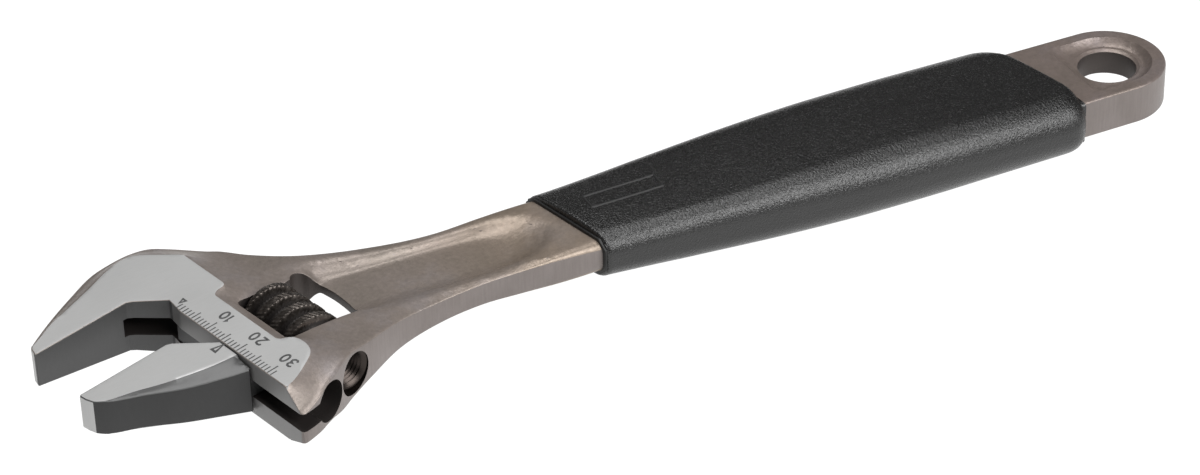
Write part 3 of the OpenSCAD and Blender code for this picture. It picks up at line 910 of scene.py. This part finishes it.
# ---------------------------------------------------------------- worm
def make_worm():
    rows, sides = 150, 368
    cuts = 46
    u0, u1 = WORM_ENDS
    verts, faces = [], []
    for i in range(rows + 1):
        u = u0 + (u1 - u0) * i / rows
        end = min(u - u0, u1 - u)
        for k in range(sides):
            a = 360.0 * k / sides
            crest = 180.0 + 360.0 * (CREST_OVER_RACK - u) / PITCH
            t = abs((a - crest + 180) % 360 - 180)
            lift = min(1.0, max(0.0, (108 - t) / 46))
            lift = lift * lift * (3 - 2 * lift)
            r = WORM_ROOT + (WORM_R - WORM_ROOT) * lift
            ripple = math.cos(math.radians(a * cuts) + u * 3.2)
            r -= 0.13 * (0.5 - 0.5 * ripple) * max(0.0, lift - 0.6) * 2.5
            r -= max(0.0, 0.6 - end) * 0.8
            ar = math.radians(a)
            verts.append((*head(u, WORM_J + r * math.cos(ar)), r * math.sin(ar)))
    outer = len(verts)
    for u in (u0, u1):
        for k in range(sides):
            ar = math.radians(360.0 * k / sides)
            verts.append((*head(u, WORM_J + 3.1 * math.cos(ar)), 3.1 * math.sin(ar)))
    for u in (u0 + 4.5, u1):
        for k in range(sides):
            ar = math.radians(360.0 * k / sides)
            verts.append((*head(u, WORM_J + 1.9 * math.cos(ar)), 1.9 * math.sin(ar)))
    for k in range(sides):
        ar = math.radians(360.0 * k / sides)
        verts.append((*head(u0 + 4.5, WORM_J + 3.1 * math.cos(ar)), 3.1 * math.sin(ar)))
    last = rows * sides
    a_, b_, c_, d_, e_ = (outer + n * sides for n in range(5))
    for k in range(sides):
        k2 = (k + 1) % sides
        for i in range(rows):
            faces.append((i * sides + k, (i + 1) * sides + k, (i + 1) * sides + k2, i * sides + k2))
        faces.append((a_ + k, k, k2, a_ + k2))
        faces.append((e_ + k, a_ + k, a_ + k2, e_ + k2))
        faces.append((c_ + k, e_ + k, e_ + k2, c_ + k2))
        faces.append((d_ + k, c_ + k, c_ + k2, d_ + k2))
        faces.append((last + k, b_ + k, b_ + k2, last + k2))
        faces.append((b_ + k, d_ + k, d_ + k2, b_ + k2))
    ob = mesh_object("knurled_worm", verts, faces, [BLACK, SHADED_CUT], sharp=40)
    # Roots and ends of the worm get the painted-shade cut steel.
    for f in ob.data.polygons:
        c = np.array(f.center) / MM
        if math.hypot(head_j(c[:2]) - WORM_J, c[2]) < WORM_ROOT + 0.9:
            f.material_index = 1
    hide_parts("worm_knurl")
    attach(ob, "worm")


# ---------------------------------------------------------------- grip
GRIP_FRONT, GRIP_REAR = -126.2, -17.0
GRIP_X = np.array([-140, -129, -122, -115, -108, -100, -90, -80, -70, -60, -50, -37, -24, -8])
GRIP_A = np.array([12.5, 12.7, 13.1, 13.6, 14.1, 14.7, 15.5, 16.2, 16.8, 17.1, 17.15, 17.1, 17.1, 17.1])
GRIP_H = np.array([5.7, 5.8, 5.9, 5.98, 6.15, 6.45, 6.9, 7.3, 7.6, 7.75, 7.8, 7.6, 7.35, 7.2])
GRIP_R = np.array([4.2, 4.3, 4.35, 4.4, 4.45, 4.6, 5.1, 5.7, 6.3, 6.8, 6.85, 6.7, 6.5, 6.4])


def smooth_at(x, ys):
    out = 0.0
    for d in (-3, -1.5, 0, 1.5, 3):
        out = out + 0.2 * np.interp(x + d, GRIP_X, ys)
    return out


def crown(x):
    """How far the grip's flat top falls from its middle to its sides; more at the front."""
    return 0.35 + 0.8 * np.clip((-110 - x) / 24, 0, 1)


def section_weights():
    """Weights (flat y, round y, flat z, round z) around a rounded rectangle, from its top."""
    quarter = [(t, 0, 1, 1) for t in np.linspace(0, 1, 13)[:-1]]
    quarter += [(1, math.cos(a), 1, math.sin(a)) for a in np.linspace(math.pi / 2, 0, 17)[:-1]]
    quarter += [(1, 1, t, 0) for t in (1, 0.5)]
    q = np.array(quarter)
    rest = np.array([(1, 1, 0, 0)])
    half = np.vstack([q, rest, q[1:][::-1] * [1, 1, -1, -1]])
    bottom = np.array([(0, 0, -1, -1)])
    return np.vstack([half, bottom, half[1:][::-1] * [-1, -1, 1, 1]])


def fillet(depth, radius):
    """How far a rounded end falls back at a distance from the end."""
    return 0.0 if depth >= radius else radius - math.sqrt(radius ** 2 - (radius - depth) ** 2)


def make_grip():
    w = section_weights()
    sides = len(w)
    length = GRIP_REAR - GRIP_FRONT
    ends = np.array([0, 0.06, 0.2, 0.45, 0.8, 1.3, 2.0, 3.0, 4.2])
    stations = np.concatenate([ends, np.linspace(5.5, length - 5.5, 72), (length - ends)[::-1]])
    verts, faces = [], []

    def place(c, size):
        x = np.full(sides, c / J[0])
        for _ in range(6):
            a, h, r = size(x)
            y = w[:, 0] * (a - r) + w[:, 1] * r
            z = w[:, 2] * (h - r) + w[:, 3] * r
            x = (c - y * J[1]) / J[0]
        z = z - crown(x) * (y / a) ** 2 * (z / h)
        verts.extend(zip(x, y, z))
    for s in stations:
        rear = length - s
        back = fillet(rear, 5.0)
        edge = fillet(s, 0.5) if s < rear else fillet(rear, 0.6)

        def outer(x):
            a = smooth_at(x, GRIP_A) - back - edge
            h = smooth_at(x, GRIP_H) - edge
            return a, h, np.minimum(smooth_at(x, GRIP_R), h - 0.1)
        place(GRIP_FRONT + s, outer)
    for c, half, thick in ((GRIP_FRONT, 12.1, 4.5), (GRIP_REAR, 13.8, 5.35)):
        place(c, lambda x: (half, thick, 0.8))
    n = len(stations)
    for i in range(n - 1):
        for k in range(sides):
            k2 = (k + 1) % sides
            faces.append((i * sides + k, i * sides + k2, (i + 1) * sides + k2, (i + 1) * sides + k))
    f0, f1 = n * sides, (n + 1) * sides
    for k in range(sides):
        k2 = (k + 1) % sides
        faces.append((f0 + k, f0 + k2, k2, k))
        faces.append(((n - 1) * sides + k, (n - 1) * sides + k2, f1 + k2, f1 + k))
        faces.append((f1 + k, f1 + k2, f0 + k2, f0 + k))
    ob = mesh_object("grip_skin", verts, faces, [GRIP], sharp=50)
    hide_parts("grip_cover")
    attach(ob, "wrench_body")


def make_label_frame():
    """Empty moulded rectangle on top of the grip, near its front."""
    corners = [(-124.6, 3.8), (-108.6, 3.3), (-109.4, -0.8), (-125.2, -0.8)]
    loop = []
    for (x0, y0), (x1, y1) in zip(corners, corners[1:] + corners[:1]):
        loop += [(x0 + (x1 - x0) * t, y0 + (y1 - y0) * t) for t in np.linspace(0, 1, 13)[:-1]]
    centre = np.mean(corners, axis=0)
    verts, faces = [], []
    for x, y in loop:
        away = np.array([x, y]) - centre
        away /= np.abs(away / [8.2, 2.3]).max()
        for grow, lift in ((-0.5, -0.2), (-0.14, 0.2), (0.14, 0.2), (0.5, -0.2)):
            px, py = centre + away * (1 + np.array([grow / 8.2, grow / 2.3]))
            top = smooth_at(px, GRIP_H) - crown(px) * (py / smooth_at(px, GRIP_A)) ** 2
            verts.append((px, py, top + lift))
    n = len(loop)
    for i in range(n):
        for k in range(4):
            faces.append((4 * i + k, 4 * i + (k + 1) % 4, 4 * ((i + 1) % n) + (k + 1) % 4,
                          4 * ((i + 1) % n) + k))
    ob = mesh_object("label_frame", verts, faces, [CORE], sharp=30)
    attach(ob, "wrench_body")


# Painted shade: near-black ground steel for the sliding jaw's outer side walls and its web.
JAW_SIDE_SHADE = ground_material("jaw_side_painted_shade", (0.03, 0.03, 0.03), HEAD_ANGLE, 0.45)
BEVEL = ground_material("jaw_bevel", (0.075, 0.075, 0.075), HEAD_ANGLE, 0.4)
RACK = ground_material("rack_steel", (0.1, 0.1, 0.1), HEAD_ANGLE, 0.4)

make_body()
make_scale()
make_jaw()
make_worm()
make_grip()
make_label_frame()
for node, mat in (("worm_pin", BLACK), ("worm_spring", WIRE), ("grip_core", CORE)):
    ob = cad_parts[node]
    ob.data.materials.clear()
    ob.data.materials.append(mat)

# ---------------------------------------------------------------- camera, light and floor
SENSOR_WIDTH, LENS = 36, 118.0
CAM_AT = Vector((-410.634, -613.433, 454.246)) * MM
CAM_RIGHT = Vector((0.898122, -0.439068, -0.024421))
CAM_DOWN = Vector((-0.263921, -0.493769, -0.828576))
CAM_AHEAD = Vector((0.351743, 0.750607, -0.559344))
cam_data = bpy.data.cameras.new("camera")
cam_data.sensor_width = SENSOR_WIDTH
cam_data.lens = LENS
cam_data.clip_start = 0.05
cam_data.clip_end = 20
cam = bpy.data.objects.new("camera", cam_data)
cam.matrix_world = Matrix((
    (CAM_RIGHT.x, -CAM_DOWN.x, -CAM_AHEAD.x, CAM_AT.x),
    (CAM_RIGHT.y, -CAM_DOWN.y, -CAM_AHEAD.y, CAM_AT.y),
    (CAM_RIGHT.z, -CAM_DOWN.z, -CAM_AHEAD.z, CAM_AT.z), (0, 0, 0, 1)))
bpy.context.scene.collection.objects.link(cam)
bpy.context.scene.camera = cam

FLOOR_GAP, FLOOR_HALF = 0.002, 6
FLOOR_Z = cad_box[0][2] - FLOOR_GAP
floor_mesh = bpy.data.meshes.new("floor")
floor_corners = [(x * FLOOR_HALF, y * FLOOR_HALF, FLOOR_Z) for x, y in ((-1, -1), (1, -1), (1, 1), (-1, 1))]
floor_mesh.from_pydata(floor_corners, [], [(0, 1, 2, 3)])
floor_mat, _, floor_bsdf = material("floor_white", (0.12, 0.12, 0.12), 0, 0.9)
floor_bsdf.inputs["Specular IOR Level"].default_value = 0.0
floor_bsdf.inputs["Emission Color"].default_value = (1, 1, 1, 1)
floor_bsdf.inputs["Emission Strength"].default_value = 1.0
floor_mesh.materials.append(floor_mat)
floor_ob = bpy.data.objects.new("floor", floor_mesh)
bpy.context.scene.collection.objects.link(floor_ob)

WORLD_STRENGTH = 0.12
world = bpy.data.worlds.new("studio")
bpy.context.scene.world = world
world.use_nodes = True
world.node_tree.nodes["Background"].inputs["Color"].default_value = (1, 1, 1, 1)
world.node_tree.nodes["Background"].inputs["Strength"].default_value = WORLD_STRENGTH


def area_light(name, at, target, size, power):
    data = bpy.data.lights.new(name, "AREA")
    data.shape = "RECTANGLE"
    data.size, data.size_y = size
    data.energy = power
    ob = bpy.data.objects.new(name, data)
    ob.location = at
    ob.rotation_euler = (Vector(target) - Vector(at)).to_track_quat("-Z", "Y").to_euler()
    bpy.context.scene.collection.objects.link(ob)


MIDDLE = (-0.11, 0, 0)
FRONT_WATTS, TOP_WATTS = 12.5, 8.2
area_light("front", (0.24, -0.8, 0.64), MIDDLE, (0.9, 0.6), FRONT_WATTS)
area_light("top", (-0.15, 0.1, 1.0), MIDDLE, (0.7, 0.7), TOP_WATTS)

bpy.context.scene.view_settings.view_transform = "Standard"
